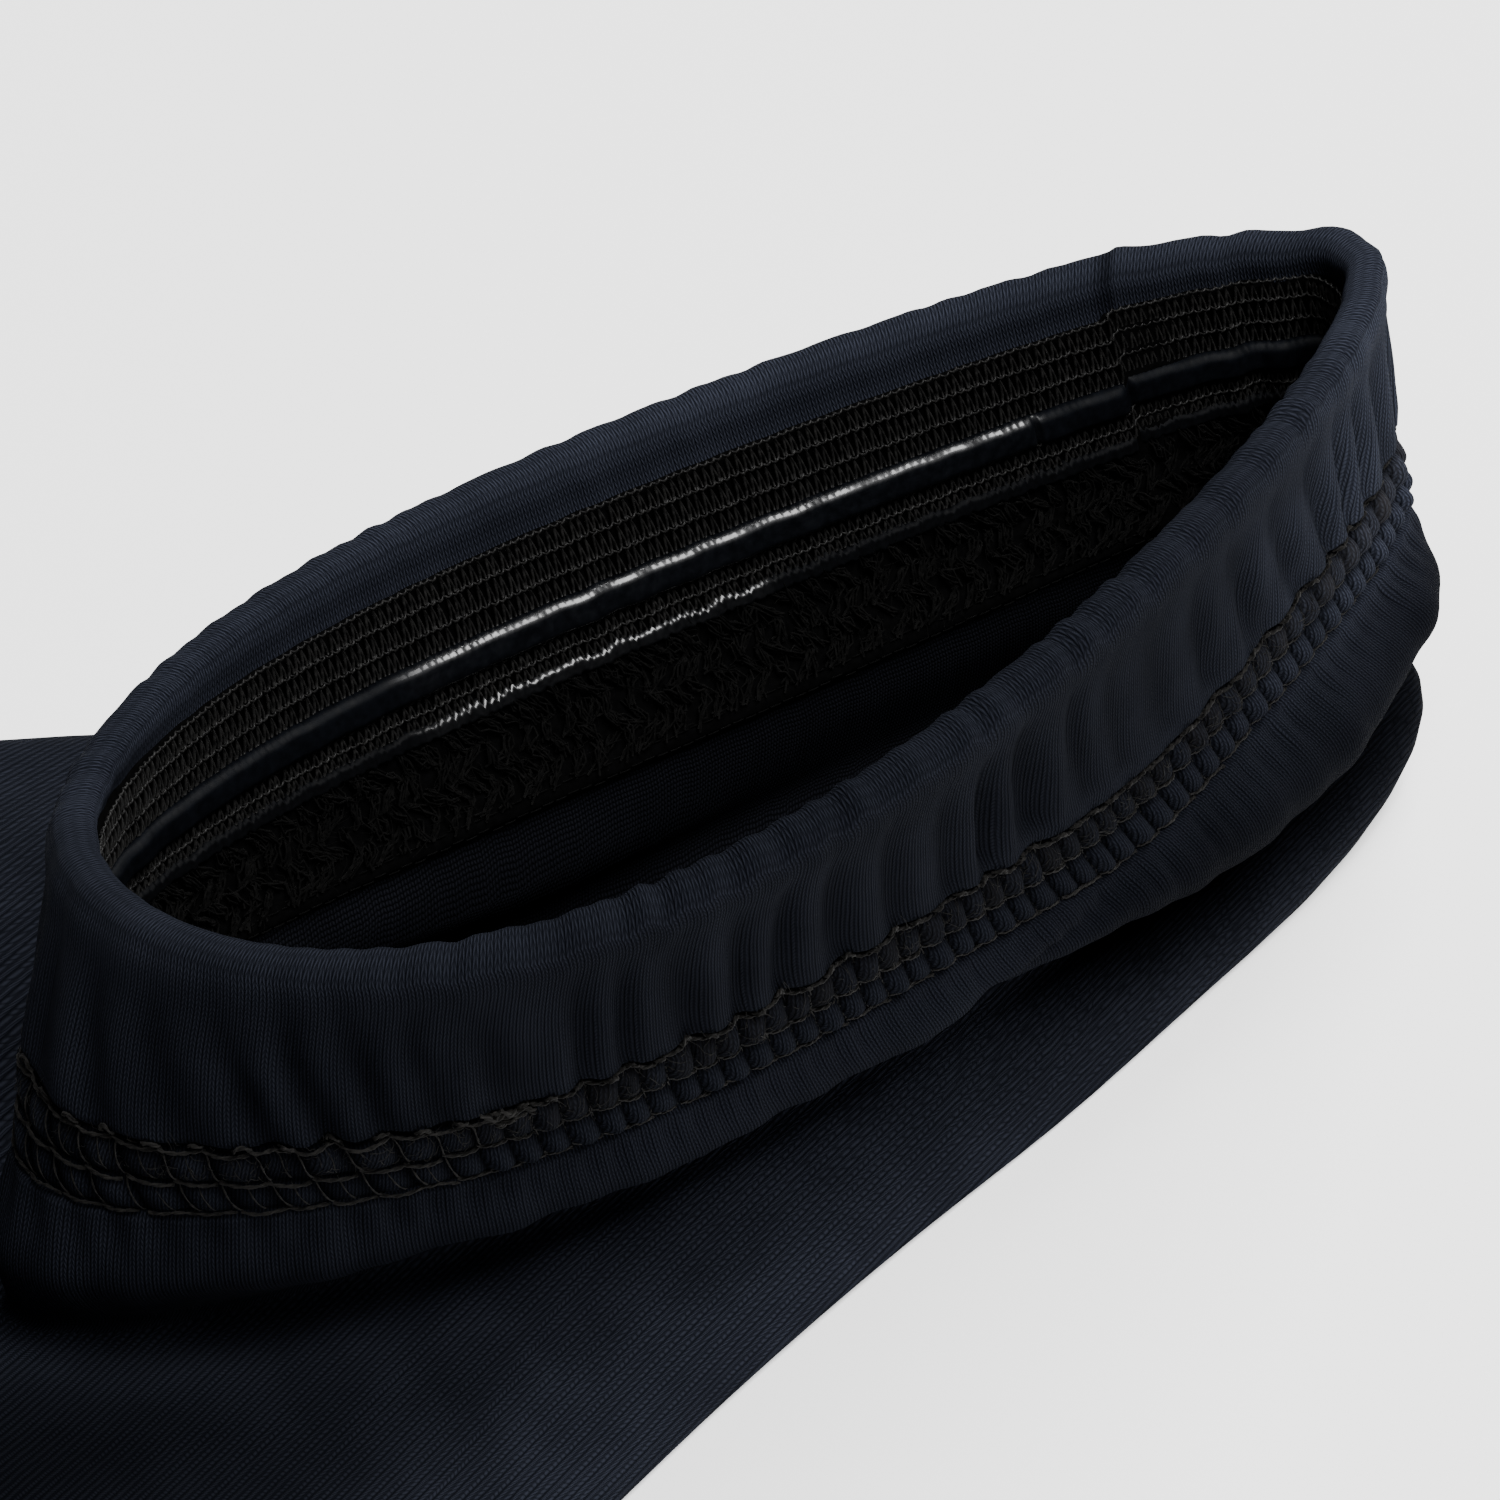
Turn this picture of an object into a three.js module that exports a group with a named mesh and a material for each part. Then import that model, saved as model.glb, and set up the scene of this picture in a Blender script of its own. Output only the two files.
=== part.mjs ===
// Arm sleeve of stretch knit, lying on its side with the upper-arm cuff standing open.
// Millimetres, +Z up. The wrist points to -X, the cuff stands at +X.
import * as THREE from 'three';

// Driving dimensions
const clothWall = 1.2; // single layer of knit
const hemWall = 2.4; // knit turned in over itself at the cuff
const wristHemWall = 2.0; // knit turned in over itself at the wrist
const rimRise = 0.9; // how far the folded edge stands above the two layers it joins
const aroundCount = 64; // facets round the sleeve
const layGap = 0.3; // clearance between pieces laid on each other
const tapeThickness = 0.8;
const stripThickness = 0.6;

// Places along the sleeve, in rows of the section table below
const tapeTop = 0.37;
const tapeBottom = 2.5;
const upperStripTop = 0.95;
const upperStripBottom = 1.25;
const lowerStripTop = 1.5;
const lowerStripBottom = 1.63;
const cuffEndRow = 3;

// One row for each section from the cuff's rim to the wrist. Each section is a closed
// round through four points: the side near the viewer, the far side, the left end
// of the mouth (later the top of the lying sleeve) and its heel end (later the underside).
// A point below the floor is pressed flat onto it. A negative egg narrows the heel end.
const sections = [
  { name: 'rim', near: [-11.8, -21.3, 44.6], far: [3.6, 15.1, 45.6], left: [-47.4, 14.3, 43.5], heel: [53.1, -16.6, 44.6], egg: -2.5, wall: hemWall },
  { name: 'band', near: [-13.4, -19, 36.2], far: [3.1, 13.2, 38], left: [-49, 16, 36.2], heel: [53.9, -17.5, 37], egg: -2, wall: hemWall },
  { name: 'stitch_top', near: [-14.5, -17, 28], far: [2.5, 10.5, 30], left: [-50.5, 17.5, 28.5], heel: [54.5, -18.5, 29], egg: -1.4, wall: hemWall },
  { name: 'stitch_low', near: [-14, -16.3, 21.8], far: [2.2, 6, 23.2], left: [-51.5, 18.5, 22.5], heel: [55.5, -19.5, 23], egg: -1, wall: clothWall },
  { name: 'pouch', near: [-12.5, -17, 16.8], far: [2.5, 8, 15.5], left: [-53.5, 19.5, 15.8], heel: [58, -20.3, 17], egg: -0.6, wall: clothWall },
  { name: 'crease', near: [-8, -11.2, 10.8], far: [2, 5.5, 10.5], left: [-51.8, 20, 9], heel: [56.5, -20.3, 12], egg: -0.4, wall: clothWall },
  { name: 'skirt', near: [-11, -11.6, 8.2], far: [1.5, 12, 11], left: [-54, 20.7, 9], heel: [57, -20.3, 8.5], egg: -0.2, wall: clothWall },
  { name: 'heel', near: [-16, -12.2, 5.8], far: [0, 22, 11.5], left: [-56.5, 22.5, 9.9], heel: [55, -19.2, 2.8], egg: 0, wall: clothWall },
  { name: 'sole', near: [-23.5, -13.4, 4.5], far: [-3.5, 33, 11.5], left: [-58.5, 25, 10.8], heel: [46.5, -14, -2], egg: 0, wall: clothWall },
  { name: 'shoulder_low', near: [-30.5, -14.8, 4], far: [-8.5, 46, 10.5], left: [-60.5, 27, 11.5], heel: [31.5, -5.5, -3.6], egg: 0, wall: clothWall },
  { name: 'shoulder_mid', near: [-41.5, -16, 3.8], far: [-17.5, 60, 11.5], left: [-64, 28, 14], heel: [7, 7, -6.5], egg: 0, wall: clothWall },
  { name: 'shoulder_high', near: [-56, -17, 3.8], far: [-34.5, 74, 11.5], left: [-70.5, 29.5, 16], heel: [-22.5, 18, -9], egg: 0, wall: clothWall },
  { name: 'shoulder_end', near: [-76, -17.6, 3.8], far: [-61.5, 84, 9.5], left: [-83, 31.5, 17.2], heel: [-56, 26.5, -9], egg: 0, wall: clothWall },
  { name: 'upper_arm', near: [-98, -17.8, 3.8], far: [-98, 88, 7], left: [-98, 34, 17.6], heel: [-98, 34, -7], egg: 0, wall: clothWall },
  { name: 'elbow', near: [-155, -17, 3.8], far: [-155, 85, 5], left: [-155, 33.5, 17], heel: [-155, 33.5, -5.5], egg: 0, wall: clothWall },
  { name: 'forearm', near: [-220, -15.6, 3.8], far: [-220, 77.5, 4.2], left: [-220, 31, 15.4], heel: [-220, 31, -4.5], egg: 0, wall: clothWall },
  { name: 'lower_arm', near: [-290, -13.8, 3.8], far: [-290, 69, 3.8], left: [-290, 27.5, 14], heel: [-290, 27.5, -4.5], egg: 0, wall: clothWall },
  { name: 'wrist_hem', near: [-325, -12.8, 3.8], far: [-325, 65.5, 3.8], left: [-325, 26.5, 13.2], heel: [-325, 26.5, -4.5], egg: 0, wall: wristHemWall },
  { name: 'wrist', near: [-342, -12.4, 3.8], far: [-342, 64, 3.8], left: [-342, 26, 13], heel: [-342, 26, -4.5], egg: 0, wall: wristHemWall },
];
const lastRow = sections.length - 1;

// Smooth passage through four neighbouring table values
function smoothBetween(before, start, end, after, t) {
  const linear = end - before;
  const square = 2 * before - 5 * start + 4 * end - after;
  const cube = 3 * start - before - 3 * end + after;
  return 0.5 * (2 * start + linear * t + square * t * t + cube * t * t * t);
}

function tablePoint(column, row) {
  const first = Math.min(Math.floor(row), lastRow - 1);
  const pick = (index) => sections[THREE.MathUtils.clamp(index, 0, lastRow)][column];
  const [before, start, end, after] = [pick(first - 1), pick(first), pick(first + 1), pick(first + 2)];
  const along = [0, 1, 2].map((k) => smoothBetween(before[k], start[k], end[k], after[k], row - first));
  return new THREE.Vector3(...along);
}

function tableNumber(column, row) {
  const first = Math.min(Math.floor(row), lastRow - 1);
  return THREE.MathUtils.lerp(sections[first][column], sections[first + 1][column], row - first);
}

const wallAt = (row) => tableNumber('wall', row);

function moveTowards(point, goal, distance) {
  return point.clone().addScaledVector(goal.clone().sub(point).normalize(), distance);
}

// Closed round through a section's four points, each drawn in towards its opposite by the inset.
// Angle 0 is the near side, a quarter turn on is the left end.
function sectionPoint(row, angle, inset = 0) {
  const edges = ['near', 'far', 'left', 'heel'].map((column) => tablePoint(column, row));
  const near = moveTowards(edges[0], edges[1], inset);
  const far = moveTowards(edges[1], edges[0], inset);
  const left = moveTowards(edges[2], edges[3], inset);
  const heel = moveTowards(edges[3], edges[2], inset);
  const point = near.clone().add(far).add(left).add(heel).divideScalar(4);
  const acrossHalf = near.clone().sub(far).divideScalar(2);
  const lengthHalf = left.clone().sub(heel).divideScalar(2);
  const saddle = near.clone().add(far).sub(left).sub(heel).divideScalar(4);
  point.addScaledVector(acrossHalf, Math.cos(angle));
  point.addScaledVector(lengthHalf, Math.sin(angle));
  point.addScaledVector(saddle, Math.cos(2 * angle));
  point.y += tableNumber('egg', row) * Math.sin(2 * angle);
  point.z = Math.max(point.z, 0);
  return point;
}

const angleStep = (2 * Math.PI) / aroundCount;
const angles = Array.from({ length: aroundCount }, (unused, index) => index * angleStep);

// Outward direction of the cloth, averaged over a small patch so that folds stay smooth
function outwardAt(row, angle) {
  const rowReach = 0.2;
  const angleReach = angleStep * 0.6;
  const above = sectionPoint(Math.max(row - rowReach, 0), angle);
  const below = sectionPoint(Math.min(row + rowReach, lastRow), angle);
  const ahead = sectionPoint(row, angle + angleReach);
  const behind = sectionPoint(row, angle - angleReach);
  return ahead.sub(behind).cross(below.sub(above)).normalize();
}

// Ring of points laid inside the outer face by a depth, and lifted by a rise. In the upright
// cuff the section is drawn in, further down the depth is measured square to the cloth.
function ringInside(row, depth, rise = 0) {
  const squareShare = THREE.MathUtils.smoothstep(row, cuffEndRow, cuffEndRow + 1);
  return angles.map((angle) => {
    const square = sectionPoint(row, angle).addScaledVector(outwardAt(row, angle), -depth);
    const point = sectionPoint(row, angle, depth).lerp(square, squareShare);
    point.z += rise;
    return point;
  });
}

// Closed band of cloth through a loop of rings: each ring joins the next, and the last the first
function closedBand(rings) {
  const positions = [];
  for (const ring of rings) {
    for (const point of ring) {
      positions.push(point.x, point.y, point.z);
    }
  }
  const indices = [];
  for (let ring = 0; ring < rings.length; ring += 1) {
    const nextRing = (ring + 1) % rings.length;
    for (let step = 0; step < aroundCount; step += 1) {
      const nextStep = (step + 1) % aroundCount;
      const a = ring * aroundCount + step;
      const b = ring * aroundCount + nextStep;
      const c = nextRing * aroundCount + nextStep;
      const d = nextRing * aroundCount + step;
      indices.push(a, b, c, a, c, d);
    }
  }
  const geometry = new THREE.BufferGeometry();
  geometry.setAttribute('position', new THREE.Float32BufferAttribute(positions, 3));
  geometry.setIndex(indices);
  geometry.computeVertexNormals();
  return geometry;
}

function rowsBetween(first, last, count) {
  return Array.from({ length: count }, (unused, index) => THREE.MathUtils.lerp(first, last, index / (count - 1)));
}

// Rows where the cloth bends sharply are split in two, the long lying part is not
const bendingRows = rowsBetween(0, 12, 25);
const lyingRows = rowsBetween(13, lastRow, lastRow - 12);
const sleeveRows = [...bendingRows, ...lyingRows];

function sleeveGeometry() {
  const outside = sleeveRows.map((row) => ringInside(row, 0));
  const inside = sleeveRows.map((row) => ringInside(row, wallAt(row)));
  const rimFold = ringInside(0, hemWall / 2, rimRise);
  return closedBand([...outside, ...inside.reverse(), rimFold]);
}

// Strip lying on the inside of the cuff between two rows, from a depth inward
function cuffStripGeometry(topRow, bottomRow, rowCount, depthInside, thickness) {
  const rows = rowsBetween(topRow, bottomRow, rowCount);
  const depthAt = (row) => Math.max(wallAt(row), hemWall) + depthInside;
  const clothSide = rows.map((row) => ringInside(row, depthAt(row)));
  const armSide = rows.map((row) => ringInside(row, depthAt(row) + thickness));
  return closedBand([...clothSide, ...armSide.reverse()]);
}

const knitNavy = new THREE.MeshStandardMaterial({ color: 0x1b1e29, roughness: 0.92, metalness: 0 });
const tapeBlack = new THREE.MeshStandardMaterial({ color: 0x121214, roughness: 0.9, metalness: 0 });
const stripGloss = new THREE.MeshStandardMaterial({ color: 0x1a1c20, roughness: 0.3, metalness: 0 });

const stripDepth = layGap + tapeThickness + layGap;
const pieces = [
  { name: 'knit_sleeve', geometry: sleeveGeometry(), material: knitNavy },
  {
    name: 'gripper_tape',
    geometry: cuffStripGeometry(tapeTop, tapeBottom, 6, layGap, tapeThickness),
    material: tapeBlack,
  },
  {
    name: 'silicone_strip_upper',
    geometry: cuffStripGeometry(upperStripTop, upperStripBottom, 2, stripDepth, stripThickness),
    material: stripGloss,
  },
  {
    name: 'silicone_strip_lower',
    geometry: cuffStripGeometry(lowerStripTop, lowerStripBottom, 2, stripDepth, stripThickness),
    material: stripGloss.clone(),
  },
];

// The origin is under the middle of the sleeve's box, on the floor
const box = new THREE.Box3();
for (const piece of pieces) {
  piece.geometry.computeBoundingBox();
  box.union(piece.geometry.boundingBox);
}
const middle = box.getCenter(new THREE.Vector3());

const armSleeve = new THREE.Group();
armSleeve.name = 'arm_sleeve';
for (const piece of pieces) {
  piece.geometry.translate(-middle.x, -middle.y, -box.min.z);
  const mesh = new THREE.Mesh(piece.geometry, piece.material);
  mesh.name = piece.name;
  armSleeve.add(mesh);
}

export default armSleeve;
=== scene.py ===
import math

import bpy
import numpy as np
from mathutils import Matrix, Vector


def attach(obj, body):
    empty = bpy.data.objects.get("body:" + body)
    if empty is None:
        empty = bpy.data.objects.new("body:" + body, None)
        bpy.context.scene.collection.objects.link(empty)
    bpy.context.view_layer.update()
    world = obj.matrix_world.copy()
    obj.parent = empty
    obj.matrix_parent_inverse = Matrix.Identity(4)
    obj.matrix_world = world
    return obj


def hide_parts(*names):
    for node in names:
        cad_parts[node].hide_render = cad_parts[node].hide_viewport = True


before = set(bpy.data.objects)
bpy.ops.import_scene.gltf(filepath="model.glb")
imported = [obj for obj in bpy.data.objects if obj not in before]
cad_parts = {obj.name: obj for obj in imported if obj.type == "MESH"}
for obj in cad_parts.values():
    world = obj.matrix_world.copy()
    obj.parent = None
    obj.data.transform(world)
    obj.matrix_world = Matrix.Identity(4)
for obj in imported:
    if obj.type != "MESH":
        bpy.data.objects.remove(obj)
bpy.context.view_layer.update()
random = np.random.default_rng(11)

# Sizes in millimetres, in the section table's own frame, and the number of wales
cloth_wall = 1.2
hem_wall = 2.4
wrist_wall = 2.0
rim_rise = 0.9
tape_gap = 0.3
tape_thickness = 0.8
wale_count = 500
course_pitch = 0.42
lying_pitch = 0.8
turned_pitch = 0.6
rim_arc = 3.0
floor_reach = 1.5
stitch_pitch = 1.95
table_to_frame = np.array([141.80, -31.60, 0.0])

# Sections from the cuff's rim to the wrist: near side, far side, left end, heel end, egg, wall
sections = [
    ([-11.8, -21.3, 44.6], [3.6, 15.1, 45.6], [-47.4, 14.3, 43.5], [53.1, -16.6, 44.6], -2.5, hem_wall),
    ([-13.4, -19, 36.2], [3.1, 13.2, 38], [-49, 16, 36.2], [53.9, -17.5, 37], -2, hem_wall),
    ([-14.5, -17, 28], [2.5, 10.5, 30], [-50.5, 17.5, 28.5], [54.5, -18.5, 29], -1.4, hem_wall),
    ([-14, -16.3, 21.8], [2.2, 6, 23.2], [-51.5, 18.5, 22.5], [55.5, -19.5, 23], -1, cloth_wall),
    ([-12.5, -17, 16.8], [2.5, 8, 15.5], [-53.5, 19.5, 15.8], [58, -20.3, 17], -0.6, cloth_wall),
    ([-8, -11.2, 10.8], [2, 5.5, 10.5], [-51.8, 20, 9], [56.5, -20.3, 12], -0.4, cloth_wall),
    ([-11, -11.6, 8.2], [1.5, 12, 11], [-54, 20.7, 9], [57, -20.3, 8.5], -0.2, cloth_wall),
    ([-16, -12.2, 5.8], [0, 22, 11.5], [-56.5, 22.5, 9.9], [55, -19.2, 2.8], 0, cloth_wall),
    ([-23.5, -13.4, 4.5], [-3.5, 33, 11.5], [-58.5, 25, 10.8], [46.5, -14, -2], 0, cloth_wall),
    ([-30.5, -14.8, 4], [-8.5, 46, 10.5], [-60.5, 27, 11.5], [31.5, -5.5, -3.6], 0, cloth_wall),
    ([-41.5, -16, 3.8], [-17.5, 60, 11.5], [-64, 28, 14], [7, 7, -6.5], 0, cloth_wall),
    ([-56, -17, 3.8], [-34.5, 74, 11.5], [-70.5, 29.5, 16], [-22.5, 18, -9], 0, cloth_wall),
    ([-76, -17.6, 3.8], [-61.5, 84, 9.5], [-83, 31.5, 17.2], [-56, 26.5, -9], 0, cloth_wall),
    ([-98, -17.8, 3.8], [-98, 88, 7], [-98, 34, 17.6], [-98, 34, -7], 0, cloth_wall),
    ([-155, -17, 3.8], [-155, 85, 5], [-155, 33.5, 17], [-155, 33.5, -5.5], 0, cloth_wall),
    ([-220, -15.6, 3.8], [-220, 77.5, 4.2], [-220, 31, 15.4], [-220, 31, -4.5], 0, cloth_wall),
    ([-290, -13.8, 3.8], [-290, 69, 3.8], [-290, 27.5, 14], [-290, 27.5, -4.5], 0, cloth_wall),
    ([-325, -12.8, 3.8], [-325, 65.5, 3.8], [-325, 26.5, 13.2], [-325, 26.5, -4.5], 0, wrist_wall),
    ([-342, -12.4, 3.8], [-342, 64, 3.8], [-342, 26, 13], [-342, 26, -4.5], 0, wrist_wall),
]
table = np.array([row[:4] for row in sections], float)
egg_table = np.array([row[4] for row in sections], float)
wall_table = np.array([row[5] for row in sections], float)
last_row = len(sections) - 1
row_marks = np.arange(len(sections))

# Rows of the table where the cuff's details lie
tape_top = 0.37
tape_bottom = 2.54
stitch_lines = (1.97, 2.45, 2.97)
upper_strip = (0.95, 1.25)
lower_strip = (1.50, 1.63)
ladder_rows = ((0.36, 0.55), (0.55, 0.76), (0.76, 0.95), (1.25, 1.38), (1.38, 1.50))
fuzz_edges = (1.64, 2.38)
edge_lines = (2.40, 2.51)
band_marks = (stitch_lines[0] - 0.5, *stitch_lines, stitch_lines[2] + 0.5)
puff_lean = 0.45
lining_row = 1.6
lying_row = 5.2
seam_angle = math.radians(227)
backtack_angle = math.radians(25)
band_middle = 2.4
wrist_lines = (17.08, 17.2)


def smooth_step(value, start, end):
    share = np.clip((np.asarray(value, float) - start) / (end - start), 0, 1)
    return share * share * (3 - 2 * share)


def between(value, start, full, fade, end):
    """1 from full to fade, with smooth slopes down to 0 at start and end."""
    return smooth_step(value, start, full) * smooth_step(value, end, fade)


def bump(value, centre, reach):
    return np.exp(-(((np.asarray(value, float) - centre) / reach) ** 2))


def arch(share):
    """Rise and fall over a share from 0 to 1."""
    return np.sin(math.pi * share)


def gap_from(shares, place):
    """How far each share of the way round lies past a place, from -0.5 to 0.5."""
    return (np.asarray(shares) - place + 0.5) % 1 - 0.5


def unit(vectors):
    return vectors / np.maximum(np.linalg.norm(vectors, axis=-1, keepdims=True), 1e-9)


def ripple(around, counts, seed):
    """Wavy number that repeats round the sleeve, made of a few waves with seeded phases."""
    phases = np.random.default_rng(seed).uniform(0, 2 * math.pi, len(counts))
    total = 0
    for count, phase in zip(counts, phases):
        total = total + np.sin(2 * math.pi * count * around + phase)
    return total / len(counts)


# The sleeve's outer face as a fine grid of rows by steps round the sleeve
def edges_at(rows):
    """The four guiding points of each row, by a smooth passage through the table."""
    rows = np.asarray(rows, float)
    first = np.clip(np.floor(rows).astype(int), 0, last_row - 1)
    part = (rows - first)[:, None, None]
    before = table[np.clip(first - 1, 0, last_row)]
    start = table[first]
    end = table[first + 1]
    after = table[np.clip(first + 2, 0, last_row)]
    square = 2 * before - 5 * start + 4 * end - after
    cube = 3 * start - before - 3 * end + after
    return 0.5 * (2 * start + (end - before) * part + square * part**2 + cube * part**3)


def section_points(rows, angles, inset=0.0):
    """Points of each row's closed round. Angles has one line per row."""
    edges = edges_at(rows)
    near, far, left, heel = np.moveaxis(edges, 1, 0)
    inset = np.broadcast_to(np.asarray(inset, float), (len(rows),))[:, None]
    across = unit(far - near) * inset
    along = unit(heel - left) * inset
    near, far = near + across, far - across
    left, heel = left + along, heel - along
    turn = angles[..., None]
    middle = (near + far + left + heel)[:, None] / 4
    points = middle + np.cos(turn) * (near - far)[:, None] / 2
    points = points + np.sin(turn) * (left - heel)[:, None] / 2
    points = points + np.cos(2 * turn) * (near + far - left - heel)[:, None] / 4
    egg = np.interp(rows, row_marks, egg_table)[:, None]
    points[..., 1] += egg * np.sin(2 * angles)
    floor_curve = floor_reach * np.exp(np.minimum(points[..., 2], floor_reach) / floor_reach - 1)
    points[..., 2] = np.where(points[..., 2] < floor_reach, floor_curve, points[..., 2])
    return points


grid_rows = np.concatenate([np.linspace(0, 7, 351), np.linspace(7.04, last_row, 275)])
grid_steps = 800
around = np.arange(grid_steps) / grid_steps


def even_angles():
    """Angles that space the steps evenly round each row, so that wales run straight up to the rim."""
    dense = np.linspace(0, 2 * math.pi, 1441)
    points = section_points(grid_rows, np.broadcast_to(dense, (len(grid_rows), len(dense))))
    lengths = np.linalg.norm(np.diff(points, axis=1), axis=2)
    travelled = np.concatenate([np.zeros((len(grid_rows), 1)), np.cumsum(lengths, axis=1)], axis=1)
    near_side = 0.5 + 0.5 * np.cos(2 * math.pi * around)
    angles = []
    for row, run in zip(grid_rows, travelled):
        shares = around + 0.03 * near_side * max(1 - row / 2, 0)
        turns = np.floor(shares)
        angles.append(np.interp(shares - turns, run / run[-1], dense) + 2 * math.pi * turns)
    return np.array(angles), travelled[:, -1]


grid_angles, round_lengths = even_angles()
base_face = section_points(grid_rows, grid_angles)


def grid_normals(points):
    ahead = np.roll(points, -2, axis=1) - np.roll(points, 2, axis=1)
    below = np.gradient(points, axis=0)
    return unit(np.cross(ahead, below))


base_normals = grid_normals(base_face)
wall_rows = np.interp(grid_rows, row_marks, wall_table)


def face_inside(depth):
    """The face inside the outer one by a depth: drawn in at the cuff, square to the cloth below it."""
    depth = np.broadcast_to(np.asarray(depth, float), (len(grid_rows),))
    drawn = section_points(grid_rows, grid_angles, depth)
    square = base_face - base_normals * depth[:, None, None]
    share = smooth_step(grid_rows, 3, 4)[:, None, None]
    return drawn + (square - drawn) * share


# Folds of the cloth: the hem's gathers, the stitched band, the roll below it, waves of the lying part
row_of = grid_rows[:, None]
side_angle = (grid_angles + math.pi) % (2 * math.pi) - math.pi
degrees = np.degrees(side_angle)
middle_degrees = degrees[np.argmin(abs(grid_rows - band_middle))]
heel_flank = between(degrees, -118, -92, -42, -14)


def around_at(angle, row=2.0):
    """Share of the way round at an angle of a row."""
    line = grid_angles[np.argmin(abs(grid_rows - row))]
    angle = angle % (2 * math.pi)
    if angle < line[0]:
        angle += 2 * math.pi
    return float(np.interp(angle, line, around))


seam_around = around_at(seam_angle)
backtack_around = around_at(backtack_angle)
heel_around = around_at(math.radians(270))


def stitch_sag(share):
    """How far the stitch rows sink below their even height, in table rows."""
    angle = np.interp(np.mod(share, 1), around, np.unwrap(np.radians(middle_degrees)))
    angle = np.degrees((angle + math.pi) % (2 * math.pi) - math.pi)
    return 0.34 * bump(angle, -30, 14) - 0.10 * bump(angle, 42, 22)


def long_stitch(shares):
    """How much longer the stitches are: 1 on the length left of the backtack, 0 elsewhere."""
    past = np.mod(shares, 1) - backtack_around
    return smooth_step(past, 0.0, 0.02) * (1 - smooth_step(past, 0.14, 0.2))


def stitch_places():
    """Shares of the way round where the needles went in."""
    places = []
    share = 0.0
    length = float(np.interp(band_middle, grid_rows, round_lengths))
    while share < 1 - 0.6 * stitch_pitch / length:
        places.append(share)
        longer = 1 + 0.45 * float(long_stitch(share))
        share += stitch_pitch * longer * random.uniform(0.88, 1.12) / length
    return np.array(places)


needle_places = stitch_places()
needle_gaps = np.diff(np.append(needle_places, 1 + needle_places[0]))[:, None]
puff_sizes = random.uniform(0.75, 1.15, (2, len(needle_places)))


def stitch_cell(shares):
    """How many stitches have passed at a share of the way round."""
    turns = np.floor(shares)
    marks = np.append(needle_places, 1 + needle_places[0])
    return np.interp(shares - turns, marks, np.arange(len(marks))) + turns * len(needle_places)


def band_row(places, shares):
    """Table row of a place in the stitched band: 0, 1 and 2 are the three needle lines."""
    return np.interp(places, (-1, 0, 1, 2, 3), band_marks) + stitch_sag(shares)


def band_height(places, shares):
    """How far the cloth puffs out between the needle lines, in two rows of small leaning pillows."""
    ladder = np.clip(np.floor(places), 0, 1)
    down = np.clip(places - ladder, 0, 1)
    cells = stitch_cell(shares) + puff_lean * (down + ladder)
    pillow = np.abs(arch(cells)) ** 0.6
    across = arch(down) ** 0.6
    size = puff_sizes[ladder.astype(int), np.floor(cells).astype(int) % len(needle_places)]
    full = 1.1 * (1 - 0.42 * long_stitch(shares))
    return 0.08 + full * size * pillow * across - 2.5 * np.maximum(np.abs(places - 1) - 1, 0)


def gather_folds():
    """Narrow valleys of the gathered hem: 0 on the ridges, 1 in a valley. They crowd on the heel side."""
    density = 54 + 4 * bump(middle_degrees, -48, 34)
    passed = np.cumsum(density) / grid_steps
    passed = passed * round(float(passed[-1])) / passed[-1]
    phase = 2 * math.pi * passed + 2.0 * ripple(around, (3, 5, 7, 11), 3)
    phase = phase + 0.8 * ripple(around, (17, 23), 4)
    drift = 0.5 * np.sin(1.3 * row_of + 9 * ripple(around, (2, 3), 6))
    drift = drift + 3.4 * row_of * bump(degrees, 50, 30) + 3.2 * row_of * bump(degrees, -55, 26)
    return (0.5 - 0.5 * np.cos(phase + drift)) ** 1.5


gathers = gather_folds()


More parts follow.
